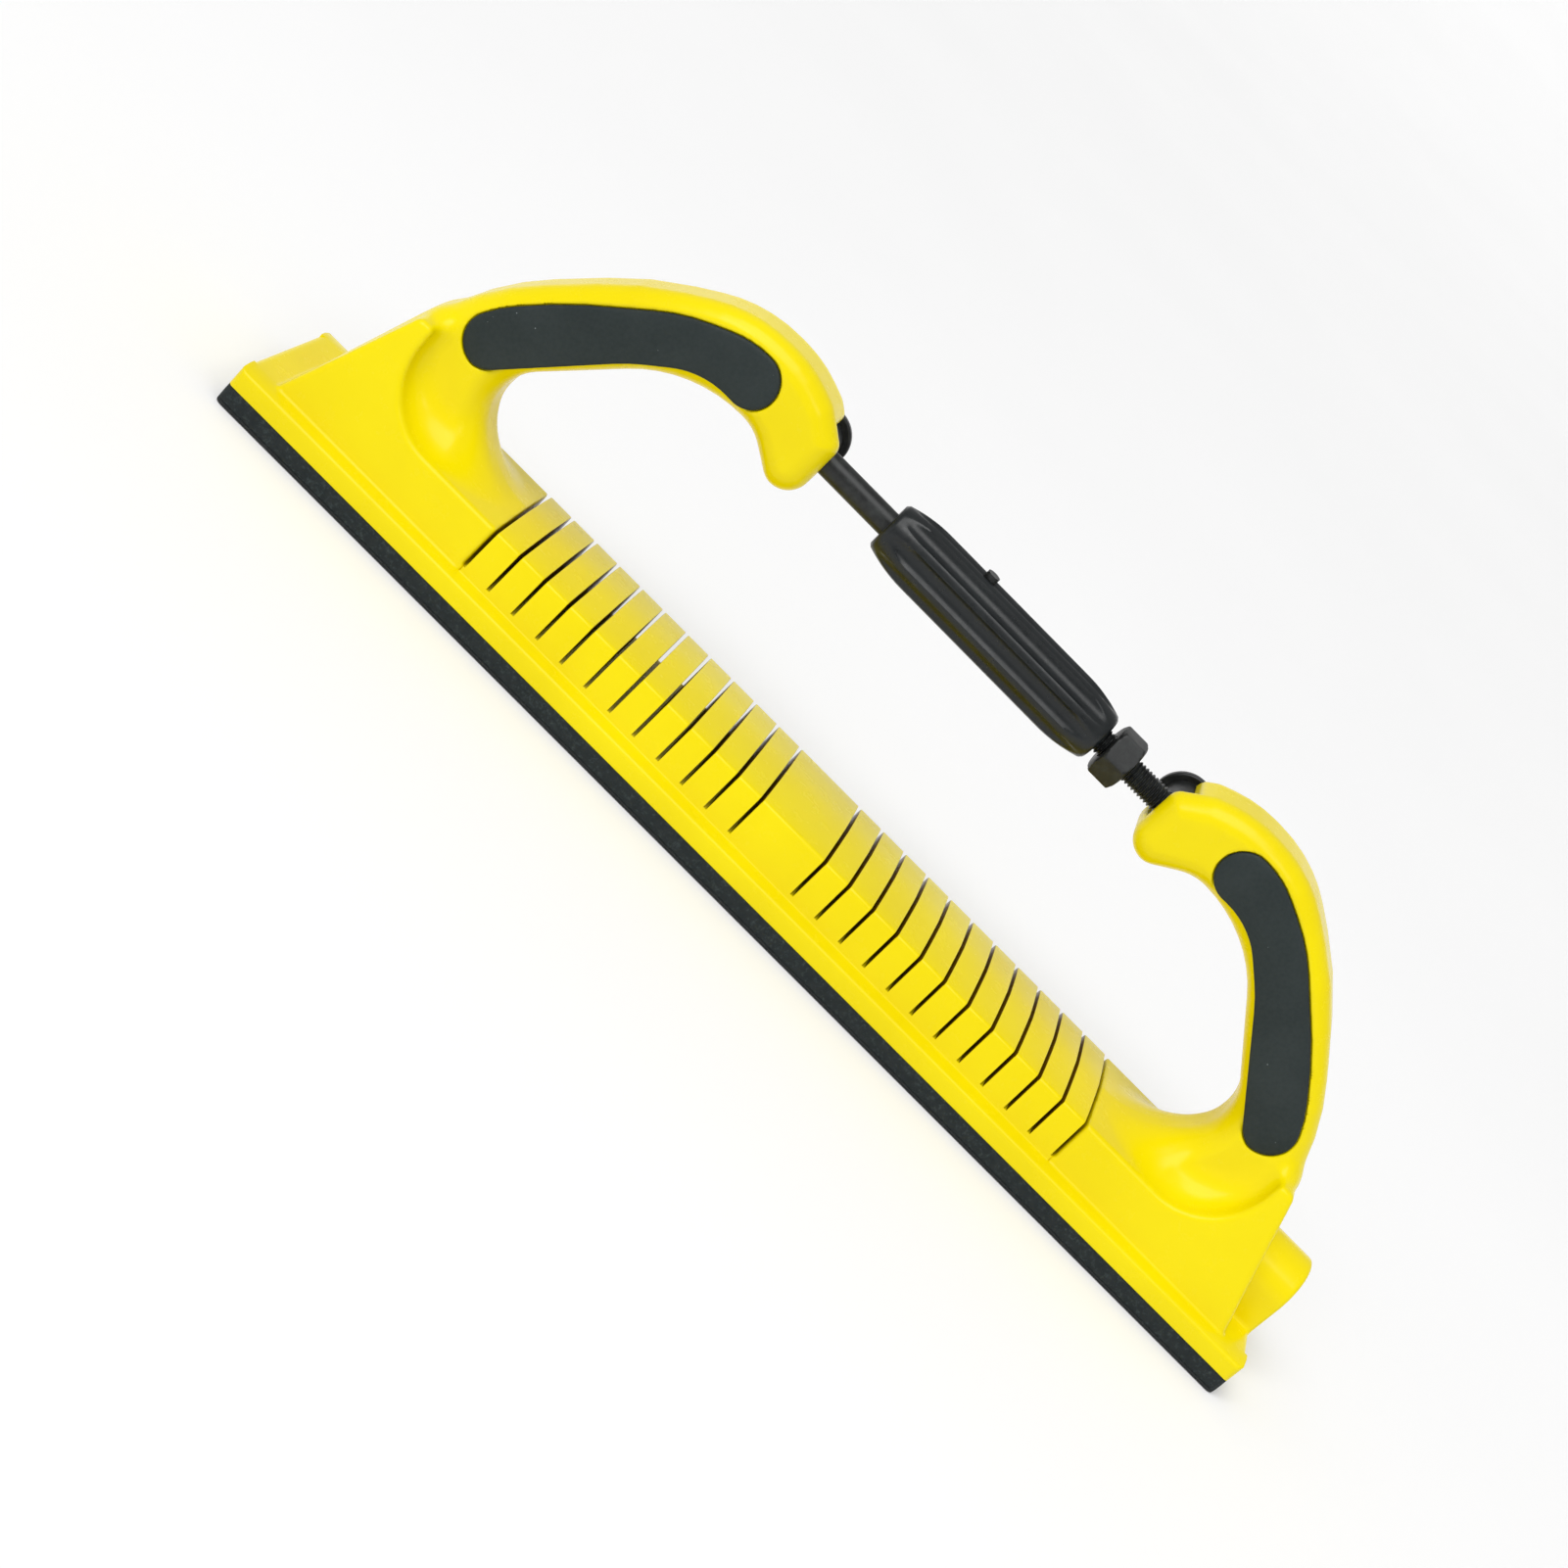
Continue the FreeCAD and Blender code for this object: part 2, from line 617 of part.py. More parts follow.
bore_radius = S.rod_radius + S.thread_play
sleeve_profile = ring_profile(
    "sleeve_profile", -sleeve_left, sleeve_right, bore_radius,
    [(-sleeve_left, S.sleeve_end_radius, S.sleeve_edge_round),
     (-sleeve_left + S.sleeve_taper, S.sleeve_radius, S.sleeve_taper_round),
     (sleeve_right - S.sleeve_taper, S.sleeve_radius, S.sleeve_taper_round),
     (sleeve_right, S.sleeve_end_radius, S.sleeve_edge_round)])
sleeve_blank = spin("sleeve_blank", sleeve_profile, X_AXIS, ZERO, up(S.pivot_z))
flutes = []
for k in range(FLUTES):
    angle = 2 * math.pi * (k + 0.5) / FLUTES
    flutes.append(rod("flute_%d" % (k + 1), S.flute_radius, sleeve_left + sleeve_right - 2 * S.flute_end,
                      S.flute_end - sleeve_left, S.flute_centre * round(math.sin(angle), 9),
                      up(S.pivot_z) + S.flute_centre * round(math.cos(angle), 9), ALONG_X))
fluted = cut("sleeve_fluted", sleeve_blank, join("flute_spaces", flutes))
pin_foot = S.rod_radius - S.groove_depth + S.groove_play
pin_hole = rod("pin_hole", S.swivel_pin_radius, S.swivel_pin_top, -swivel_pin_x, ZERO, up(S.pivot_z))
nodes["adjuster_sleeve"] = cut("sleeve_body", fluted, pin_hole)
nodes["swivel_pin"] = rod("swivel_pin_body", S.swivel_pin_radius, S.swivel_pin_top - pin_foot,
                          -swivel_pin_x, ZERO, up(S.pivot_z) + pin_foot)

hexagon = doc.addObject("Part::Prism", "nut_hexagon")
hexagon.Polygon = 6
nut_corner = S.nut_flats / round(math.sqrt(3.0), 9)
bind(hexagon, "Circumradius", nut_corner)
bind(hexagon, "Height", S.nut_thickness)
place(hexagon, nut_left, ZERO, up(S.pivot_z), ALONG_X * Rotation(Vector(0, 0, 1), 30))
nut_right = nut_left + S.nut_thickness
nut_profile = ring_profile(
    "nut_profile", nut_left, nut_right, bore_radius,
    [(nut_left, S.nut_flats / 2 - 0.2, None),
     (nut_left + S.nut_chamfer, nut_corner + 0.2, None),
     (nut_right - S.nut_chamfer, nut_corner + 0.2, None),
     (nut_right, S.nut_flats / 2 - 0.2, None)])
nut_ring = spin("nut_ring", nut_profile, X_AXIS, ZERO, up(S.pivot_z))
nodes["lock_nut"] = common("lock_nut_body", hexagon, nut_ring)

# ---------------------------------------------------------------- end blocks assembled
tip_bore = rod("tip_bore", S.barrel_radius + S.barrel_play, S.arm_half_width * 2,
               out(S.pivot_x), -(barrel_near + S.barrel_end_play), up(S.pivot_z), ALONG_Y)
tip_opening = box("tip_opening", out(S.tip_face) - 6.0, out(S.notch_x),
                  -(barrel_near + S.barrel_end_play), S.arm_half_width + 2.0,
                  tip_floor, up(S.crown_top) + 2.0)
end_solid = join("end_solid", [flange, end_wall, roof, arm])
end_spaces = join("end_spaces", [channel, kerfs, tip_bore, tip_opening, grip, grip_mirror])
end_plain = cut("end_plain", end_solid, end_spaces)
nodes["left_end_block"] = mirror_x("left_end_body", end_plain)

outlet_length = half_length - out(S.outlet_start)
outlet, outlet_pad = padded_body("outlet", ACROSS, [
    (S.outlet_half_width, flange_top - 1.5, None),
    (S.outlet_half_width, up(S.outlet_top), S.outlet_arch_round),
    (-S.outlet_half_width, up(S.outlet_top), S.outlet_arch_round),
    (-S.outlet_half_width, flange_top - 1.5, None),
], outlet_length)
place(outlet, out(S.outlet_start) + outlet_length / 2, ZERO, ZERO)
rim_x = outlet_length.value / 2


def on_rim(edge):
    return abs(mid(edge).x - rim_x) < 1e-3 and mid(edge).z > flange_top.value


round_edges(outlet, "outlet_rim", outlet_pad, S.outlet_edge_round, on_rim)
outlet_hole = rod("outlet_hole", S.outlet_bore, S.outlet_bore_depth + 1.0,
                  half_length - S.outlet_bore_depth, ZERO, up(S.outlet_axis), ALONG_X)
well_outer = half_length - S.outlet_bore_depth + S.well_overlap
well = box("outlet_well", well_outer - 2 * S.well_half, well_outer, -S.well_half, S.well_half,
           up(S.channel_top) - 1.0, up(S.outlet_axis) + S.well_half)
right_solid = join("right_end_solid", [end_plain, outlet])
nodes["right_end_block"] = cut("right_end_body", right_solid,
                               join("outlet_spaces", [outlet_hole, well]))

# ---------------------------------------------------------------- check and write
doc.recompute()
problems = []
for thing in doc.Objects:
    if "Invalid" in thing.State or "Error" in thing.State:
        problems.append("%s: %s" % (thing.Name, thing.State))
for name, thing in nodes.items():
    thing.Label = name
    if thing.Shape.isNull() or not thing.Shape.isValid() or not thing.Shape.Solids:
        problems.append("%s: bad shape" % name)
if problems:
    raise RuntimeError("; ".join(problems))

os.makedirs("parts", exist_ok=True)
whole = FreeCAD.BoundBox()
for name, thing in nodes.items():
    thing.Shape.exportStep("parts/%s.step" % name)
    whole.add(thing.Shape.BoundBox)
print("nodes", len(nodes))
print("box", whole)
for name, thing in nodes.items():
    if "rib" not in name and "pad_" not in name:
        print(name, len(thing.Shape.Solids), round(thing.Shape.Volume / 1000.0, 2), "cm3")
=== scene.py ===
"""Looks of the flexible hand sander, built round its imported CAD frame.

Lengths below are in millimetres and become metres when a mesh is made.
+X runs along the board to the dust outlet, +Y to the pivot heads, +Z up from the sanding face.
"""
import math

import bpy
import numpy as np
from mathutils import Matrix, Vector


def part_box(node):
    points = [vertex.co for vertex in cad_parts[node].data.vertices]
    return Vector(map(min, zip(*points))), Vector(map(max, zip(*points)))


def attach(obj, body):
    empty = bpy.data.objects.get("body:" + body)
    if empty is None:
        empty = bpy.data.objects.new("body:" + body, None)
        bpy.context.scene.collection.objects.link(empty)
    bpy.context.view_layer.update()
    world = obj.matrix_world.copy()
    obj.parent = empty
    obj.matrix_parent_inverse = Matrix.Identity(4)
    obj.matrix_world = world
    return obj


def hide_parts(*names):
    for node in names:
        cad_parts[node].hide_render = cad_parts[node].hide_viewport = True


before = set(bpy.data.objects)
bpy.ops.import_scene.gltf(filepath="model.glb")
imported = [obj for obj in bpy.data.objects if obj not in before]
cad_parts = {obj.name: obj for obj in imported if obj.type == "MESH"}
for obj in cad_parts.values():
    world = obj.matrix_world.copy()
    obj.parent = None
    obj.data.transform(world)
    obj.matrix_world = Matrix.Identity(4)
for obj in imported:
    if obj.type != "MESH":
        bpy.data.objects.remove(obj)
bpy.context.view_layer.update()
MM = 0.001


def cad(node):
    """Lowest and highest corner of a CAD node, in millimetres."""
    low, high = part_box(node)
    return low / MM, high / MM


# sizes read from the frame
HALF_LENGTH = cad("right_end_block")[1].x
HALF_WIDTH = cad("centre_block")[1].y
RIDGE = cad("centre_block")[1].z
PAD_TOP = cad("pad_centre")[1].z
KERF_1 = (cad("pad_right_01")[0].x + cad("pad_centre")[1].x) / 2
KERF_PITCH = cad("pad_right_02")[0].x - cad("pad_right_01")[0].x
KERFS = 12
ADJUSTER_Z = (cad("lock_nut")[0].z + cad("lock_nut")[1].z) / 2
SLEEVE_HALF = cad("adjuster_sleeve")[1].x
SLEEVE_RADIUS = cad("adjuster_sleeve")[1].y

# sizes of the moulding's section
KERF_WIDTH = 1.1
KERF_FLOOR = 15.1
BLOCK_START = KERF_1 + KERF_PITCH * (KERFS - 1)
LIP = 0.35
FLANGE_EDGE = 12.4
WALL_FOOT_Y, WALL_FOOT_Z = 29.3, 13.4
WALL_TOP_Y, WALL_TOP_Z = 26.5, 28.7
CHANNEL_HALF, CHANNEL_TOP = 20.0, 12.4
CORNER = 2.5


# ---------------------------------------------------------------- meshes
def piece(name, vertices, faces, body, slot, material, sharp=35):
    """A mesh from points in millimetres, shaded smooth but for its sharp edges, riding on a body."""
    mesh = bpy.data.meshes.new(name)
    mesh.from_pydata([tuple(float(c) * MM for c in v) for v in vertices], [], faces)
    mesh.validate()
    mesh.shade_smooth()
    mesh.set_sharp_from_angle(angle=math.radians(sharp))
    mesh.materials.append(material)
    thing = bpy.data.objects.new(name, mesh)
    bpy.context.scene.collection.objects.link(thing)
    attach(thing, body)
    return thing


def rounded(corners, step=18):
    """A closed outline through (y, z, radius) corners, with arcs of one short side per step degrees."""
    points = []
    count = len(corners)
    for i, (y, z, radius) in enumerate(corners):
        here = np.array((y, z), float)
        if radius <= 0:
            points.append(here)
            continue
        back = np.array(corners[i - 1][:2], float) - here
        ahead = np.array(corners[(i + 1) % count][:2], float) - here
        back /= np.linalg.norm(back)
        ahead /= np.linalg.norm(ahead)
        half = math.acos(max(-1, min(1, float(back @ ahead)))) / 2
        reach = radius / math.tan(half)
        centre = here + (back + ahead) / np.linalg.norm(back + ahead) * radius / math.sin(half)
        start, end = here + back * reach - centre, here + ahead * reach - centre
        turn = math.atan2(start[0] * end[1] - start[1] * end[0], float(start @ end))
        sides = max(1, round(abs(math.degrees(turn)) / step))
        for k in range(sides + 1):
            a = turn * k / sides
            points.append(centre + np.array((start[0] * math.cos(a) - start[1] * math.sin(a),
                                             start[0] * math.sin(a) + start[1] * math.cos(a))))
    return np.array(points)


def inward(points):
    """Unit normals pointing into a counter-clockwise outline."""
    along = np.roll(points, -1, 0) - np.roll(points, 1, 0)
    normal = np.stack((-along[:, 1], along[:, 0]), 1)
    return normal / np.linalg.norm(normal, axis=1)[:, None]


def sweep(stations):
    """Vertices and faces of a skin through (x, outline) stations, with flat ends."""
    count = len(stations[0][1])
    vertices = [(x, y, z) for x, outline in stations for y, z in outline]
    faces = []
    for s in range(len(stations) - 1):
        for i in range(count):
            j = (i + 1) % count
            a, b = s * count, (s + 1) * count
            faces.append((a + i, a + j, b + j, b + i))
    faces.append(tuple(range(count))[::-1])
    faces.append(tuple(range((len(stations) - 1) * count, len(stations) * count)))
    return vertices, faces


def mirrored(points):
    """Right half of an outline, bottom to top, with its left half added."""
    return points + [(-y, z, r) for y, z, r in reversed(points) if y > 0]


SECTION = rounded(mirrored([
    (CHANNEL_HALF, CHANNEL_TOP, 0), (CHANNEL_HALF, PAD_TOP, 0),
    (HALF_WIDTH, PAD_TOP, 0.4), (HALF_WIDTH, FLANGE_EDGE, 1.6),
    (WALL_FOOT_Y, WALL_FOOT_Z, 0.8), (28.99, KERF_FLOOR, 0),
    (WALL_TOP_Y, WALL_TOP_Z, 1.4), (18.0, 29.42, 0), (9.0, 29.95, 0), (0, RIDGE, 0)]))
IN_WALL = SECTION[:, 1] > KERF_FLOOR + 0.05


def cut_section(inset):
    """The section with its walls and top drawn in, as at a rounded lip."""
    outline = SECTION.copy()
    outline[IN_WALL] += inward(SECTION)[IN_WALL] * inset
    outline[IN_WALL, 1] = np.maximum(outline[IN_WALL, 1], KERF_FLOOR + 0.02)
    return outline


def floor_section():
    """The section where a kerf has taken everything above its floor."""
    outline = cut_section(LIP)
    outline[IN_WALL, 1] = KERF_FLOOR
    return outline


def block_stations(x0, x1):
    """Stations of one block of the board, from mid-kerf to mid-kerf."""
    half = KERF_WIDTH / 2
    lip = [(LIP * (1 - math.cos(a)), LIP * (1 - math.sin(a))) for a in np.radians((0, 30, 60, 90))]
    low = [(x0, floor_section()), (x0 + half - 0.01, floor_section())]
    low += [(x0 + half + dx, cut_section(inset)) for dx, inset in lip]
    high = [(x1 - half - dx, cut_section(inset)) for dx, inset in reversed(lip)]
    high += [(x1 - half + 0.01, floor_section()), (x1, floor_section())]
    return low + [((x0 + x1) / 2, SECTION)] + high


def corner_marks():
    """Distances from the board's end, and how far its side is drawn in there, round a corner in plan."""
    return [(CORNER * (1 - math.sin(a)), CORNER * (1 - math.cos(a))) for a in np.radians(range(0, 91, 15))]


# ---------------------------------------------------------------- materials
class Nodes:
    """Short hand for a material's node tree."""

    def __init__(self, name):
        self.material = bpy.data.materials.new(name)
        self.material.use_nodes = True
        self.tree = self.material.node_tree
        self.shader = self.tree.nodes["Principled BSDF"]
        self.place = self.add("ShaderNodeTexCoord").outputs["Object"]

    def add(self, kind, **values):
        node = self.tree.nodes.new(kind)
        for key, value in values.items():
            if hasattr(node, key):
                setattr(node, key, value)
            else:
                node.inputs[key.replace("_", " ")].default_value = value
        return node

    def link(self, a, b):
        self.tree.links.new(a, b)

    def noise(self, scale, detail=3.0, rough=0.5):
        node = self.add("ShaderNodeTexNoise", Scale=scale, Detail=detail, Roughness=rough)
        self.link(self.place, node.inputs["Vector"])
        return node.outputs["Fac"]

    def cells(self, scale):
        node = self.add("ShaderNodeTexVoronoi", Scale=scale)
        self.link(self.place, node.inputs["Vector"])
        return node.outputs["Distance"]

    def ramp(self, source, low, high, start, end):
        node = self.add("ShaderNodeMapRange", From_Min=start, From_Max=end, To_Min=low, To_Max=high)
        self.link(source, node.inputs["Value"])
        return node.outputs["Result"]

    def mix(self, factor, a, b):
        node = self.tree.nodes.new("ShaderNodeMix")
        node.data_type = "RGBA"
        self.link(factor, node.inputs["Factor"])
        for socket, value in (("A", a), ("B", b)):
            target = [s for s in node.inputs if s.name == socket and s.type == "RGBA"][0]
            if isinstance(value, tuple):
                target.default_value = value + (1.0,)
            else:
                self.link(value, target)
        return [s for s in node.outputs if s.type == "RGBA"][0]

    def bump(self, *layers):
        """Stacks (height, strength, distance in metres) layers and drives the shader's normal."""
        last = None
        for height, strength, distance in layers:
            node = self.add("ShaderNodeBump", Strength=strength, Distance=distance)
            self.link(height, node.inputs["Height"])
            if last:
                self.link(last, node.inputs["Normal"])
            last = node.outputs["Normal"]
        self.link(last, self.shader.inputs["Normal"])

    def base(self, colour):
        self.link(colour, self.shader.inputs["Base Color"])

    def rough(self, value):
        self.link(value, self.shader.inputs["Roughness"])


def moulded_plastic(name, tone, darker):
    """Semi-gloss moulding: slightly uneven tone, orange-peel surface and faint handling marks."""
    n = Nodes(name)
    n.base(n.mix(n.ramp(n.noise(24, 4), 0, 1, 0.35, 0.7), tone, darker))
    scuffs = n.ramp(n.noise(160, 6, 0.7), 0, 1, 0.55, 0.8)
    n.rough(n.ramp(scuffs, 0.26, 0.36, 0, 1))
    n.bump((n.noise(420, 2), 0.10, 0.00012), (n.noise(2600, 2), 0.05, 0.00003))
    n.shader.inputs["Specular IOR Level"].default_value = 0.18
    return n.material


def soft_grip(name):
    """Fine matt rubber with a few pale specks of dust."""
    n = Nodes(name)
    tone = n.mix(n.ramp(n.noise(60, 4), 0, 1, 0.3, 0.7), (0.014, 0.022, 0.022), (0.021, 0.030, 0.030))
    specks = n.ramp(n.cells(520), 1, 0, 0.07, 0.11)
    few = n.ramp(n.noise(140, 2), 0, 1, 0.60, 0.64)
    both = n.add("ShaderNodeMath", operation="MULTIPLY")
    n.link(specks, both.inputs[0])
    n.link(few, both.inputs[1])
    n.base(n.mix(both.outputs[0], tone, (0.22, 0.25, 0.25)))
    n.rough(n.ramp(n.noise(900, 3), 0.55, 0.72, 0.3, 0.7))
    n.shader.inputs["Specular IOR Level"].default_value = 0.3
    n.bump((n.noise(2400, 3), 0.35, 0.00008), (n.noise(260, 2), 0.15, 0.0002))
    return n.material


def foam(name, tone, pale, cell):
    """Closed-cell foam: dark, cellular and speckled."""
    n = Nodes(name)
    specks = n.ramp(n.noise(cell, 3, 0.7), 0, 1, 0.52, 0.74)
    n.base(n.mix(specks, tone, pale))
    n.rough(n.ramp(n.noise(cell / 2, 2), 0.8, 0.95, 0.3, 0.7))
    n.bump((n.cells(cell), 0.6, 0.0003), (n.noise(cell * 2, 3), 0.5, 0.00015))
    return n.material


def black_steel(name, rough=0.34):
    """Black oxide steel with worn, slightly grey-green high places."""
    n = Nodes(name)
    worn = n.ramp(n.noise(300, 5, 0.65), 0, 1, 0.45, 0.75)
    n.base(n.mix(worn, (0.012, 0.013, 0.013), (0.030, 0.034, 0.033)))
    n.rough(n.ramp(worn, rough, rough + 0.16, 0, 1))
    n.bump((n.noise(1500, 4), 0.12, 0.00005))
    n.shader.inputs["Metallic"].default_value = 0.35
    return n.material


def satin_plastic(name):
    """Dark moulded plastic of the sleeve, with a soft bluish sheen."""
    n = Nodes(name)
    n.base(n.mix(n.ramp(n.noise(70, 4), 0, 1, 0.35, 0.7), (0.004, 0.006, 0.007), (0.008, 0.011, 0.012)))
    n.rough(n.ramp(n.noise(500, 4), 0.26, 0.38, 0.3, 0.7))
    n.shader.inputs["Specular IOR Level"].default_value = 0.4
    n.bump((n.noise(900, 3), 0.12, 0.00008), (n.noise(3000, 2), 0.08, 0.00003))
    return n.material


YELLOW = moulded_plastic("moulded_yellow", (0.87, 0.72, 0.0), (0.82, 0.66, 0.0))
# dark brown-yellow for the kerf walls: painted shade, standing in for the shade deep in the narrow kerfs
KERF_SHADE_YELLOW = moulded_plastic("kerf_painted_shade", (0.24, 0.13, 0.0), (0.16, 0.08, 0.0))
GRIP_RUBBER = soft_grip("grip_rubber")
FOAM = foam("pad_foam", (0.006, 0.011, 0.012), (0.034, 0.048, 0.048), 900)
HOOKS = foam("pad_hooks", (0.010, 0.012, 0.012), (0.035, 0.038, 0.038), 1700)
STEEL = black_steel("black_steel")
NUT_STEEL = black_steel("nut_steel", 0.42)
SLEEVE = satin_plastic("sleeve_plastic")


# ---------------------------------------------------------------- board
def shade_kerf_walls(block):
    """Gives the walls inside the kerfs a dark brown-yellow material: painted shade of the narrow cuts."""
    block.data.materials.append(KERF_SHADE_YELLOW)
    # faces turned along the board above the kerf floor are the kerf walls, darkened as painted shade
    for face in block.data.polygons:
        if abs(face.normal.x) > 0.9 and face.center.z > KERF_FLOOR * MM:
            face.material_index = 1


def board_blocks():
    """The centre block and the ribs, which meet in the middle of each kerf."""
    stations = block_stations(-KERF_1, KERF_1)
    centre = piece("board_centre", *sweep(stations), "centre", "body", YELLOW)
    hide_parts("centre_block")
    shade_kerf_walls(centre)
    for side, sign in (("right", 1), ("left", -1)):
        for k in range(1, KERFS):
            near = KERF_1 + KERF_PITCH * (k - 1)
            ends = sorted((sign * near, sign * (near + KERF_PITCH)))
            name = f"{side}_rib_{k:02d}"
            rib = piece(f"board_{name}", *sweep(block_stations(*ends)), name, "body", YELLOW)
            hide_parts(name)
            shade_kerf_walls(rib)


def flange_rails():
    """The flange's two sides along each end block, in line with the ribs' flanges."""
    proud = 0.03
    side_out, top = HALF_WIDTH + proud, WALL_FOOT_Z + proud
    rail = rounded([(WALL_TOP_Y, PAD_TOP, 0), (side_out, PAD_TOP, 0.4), (side_out, FLANGE_EDGE + proud, 1.6),
                    (WALL_FOOT_Y, top, 0), (WALL_TOP_Y, top, 0)])
    marks = [(BLOCK_START, 0), ((BLOCK_START + HALF_LENGTH) / 2, 0)]
    marks += [(HALF_LENGTH - dx, by) for dx, by in corner_marks()]
    for side, sign in (("right", 1), ("left", -1)):
        for half, across in (("near", -1), ("far", 1)):
            stations = []
            for x, by in marks:
                outline = rail.copy()
                outline[:, 0] = np.minimum(outline[:, 0], side_out - by) * across
                stations.append((sign * x, outline if across > 0 else outline[::-1]))
            piece(f"flange_{side}_{half}", *sweep(stations[::sign]), f"{side}_end", "body", YELLOW)


PAD_SECTION = rounded(mirrored([
    (0, 0, 0), (HALF_WIDTH - 0.5, 0, 0.3), (HALF_WIDTH - 0.35, 1.1, 0), (HALF_WIDTH - 0.55, 1.25, 0),
    (HALF_WIDTH - 0.2, 1.5, 0.2), (HALF_WIDTH, 3.6, 3.0), (HALF_WIDTH - 0.25, PAD_TOP, 0.3),
    (0, PAD_TOP, 0)]))
HOOKS_TOP = 1.15
DUST_HOLE_RADIUS = 4.0
CENTRE_DUST_HOLE_Y = 12
END_DUST_HOLES = (132, 152, 172)


def narrowed(outline, by):
    """An outline with both sides drawn in by a distance."""
    out = outline.copy()
    out[:, 0] = np.sign(out[:, 0]) * np.maximum(np.abs(out[:, 0]) - by, 0)
    return out


def pad(name, node, body, x0, x1, round_end=0, holes=()):
    """One length of the foam pad, with rounded corners where the board ends."""
    low, high = min(x0, x1), max(x0, x1)
    marks = [(low, 0), ((low + high) / 2, 0), (high, 0)]
    if round_end:
        corner = corner_marks()
        if round_end > 0:
            marks = marks[:-1] + [(high - dx, by) for dx, by in corner]
        else:
            marks = [(low + dx, by) for dx, by in reversed(corner)] + marks[1:]
    stations = [(x, narrowed(PAD_SECTION, by)) for x, by in marks]
    thing = piece(name, *sweep(stations), body, "pad", FOAM)
    thing.data.materials.append(HOOKS)
    for x, y in holes:
        drill(thing, x, y, DUST_HOLE_RADIUS)
    for face in thing.data.polygons:
        if face.center.z < HOOKS_TOP * MM:
            face.material_index = 1
    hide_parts(node)
    return thing


def drill(thing, x, y, radius):
    """Cuts a plain round hole up through a piece."""
    bpy.ops.mesh.primitive_cylinder_add(vertices=40, radius=radius * MM, depth=0.03,
                                        location=(x * MM, y * MM, 0.005))
    tool = bpy.context.object
    cut = thing.modifiers.new("hole", "BOOLEAN")
    cut.operation = "DIFFERENCE"
    cut.object = tool
    cut.solver = "EXACT"
    settle(thing)
    bpy.data.objects.remove(tool)


def settle(thing):
    """Applies a piece's modifiers to its mesh."""
    bpy.context.view_layer.update()
    done = bpy.data.meshes.new_from_object(thing.evaluated_get(bpy.context.evaluated_depsgraph_get()))
    thing.modifiers.clear()
    thing.data = done
    thing.data.shade_smooth()
    thing.data.set_sharp_from_angle(angle=math.radians(35))


def pads():
    """The foam pad, in lengths that meet under the kerfs."""
    pad("foam_centre", "pad_centre", "centre", -KERF_1, KERF_1,
        holes=[(0, y) for y in (-CENTRE_DUST_HOLE_Y, CENTRE_DUST_HOLE_Y)])
    for side, sign in (("right", 1), ("left", -1)):
        for k in range(1, KERFS):
            near = KERF_1 + KERF_PITCH * (k - 1)
            pad(f"foam_{side}_{k:02d}", f"pad_{side}_{k:02d}", f"{side}_rib_{k:02d}",
                sign * near, sign * (near + KERF_PITCH))
        pad(f"foam_{side}_end", f"pad_{side}_end", f"{side}_end", sign * BLOCK_START, sign * HALF_LENGTH,
            round_end=sign, holes=[(sign * x, 0) for x in END_DUST_HOLES])


# ---------------------------------------------------------------- handles
def distance(outline, px, py):
    """Signed distance from points to a closed outline, below zero inside."""
    px, py = np.broadcast_arrays(px, py)
    nearest = np.full(px.shape, 1e9)
    inside = np.zeros(px.shape, bool)
    for (ax, ay), (bx, by) in zip(outline, np.roll(outline, -1, 0)):
        dx, dy = bx - ax, by - ay
        along = np.clip(((px - ax) * dx + (py - ay) * dy) / (dx * dx + dy * dy + 1e-12), 0, 1)
        nearest = np.minimum(nearest, np.hypot(px - ax - along * dx, py - ay - along * dy))
        if ay != by:
            inside ^= ((ay > py) != (by > py)) & (px < ax + (py - ay) * dx / dy)
    return np.where(inside, -nearest, nearest)


def both(a, b, radius):
    """Where two shapes overlap, with the edge between them rounded."""
    u, v = a + radius, b + radius
    return np.minimum(np.maximum(u, v), 0) + np.hypot(np.maximum(u, 0), np.maximum(v, 0)) - radius


def without(a, b, radius):
    """The first shape less the second, with a rounded rim."""
    return both(a, -b, radius)


def melted(a, b, radius):
    """Two shapes joined, with a concave fillet between them."""
    u, v = radius - a, radius - b
    return np.maximum(np.minimum(a, b), radius) - np.hypot(np.maximum(u, 0), np.maximum(v, 0))


def between(value, low, high):
    """Distance to the slab from low to high."""
    return np.abs(value - (low + high) / 2) - (high - low) / 2


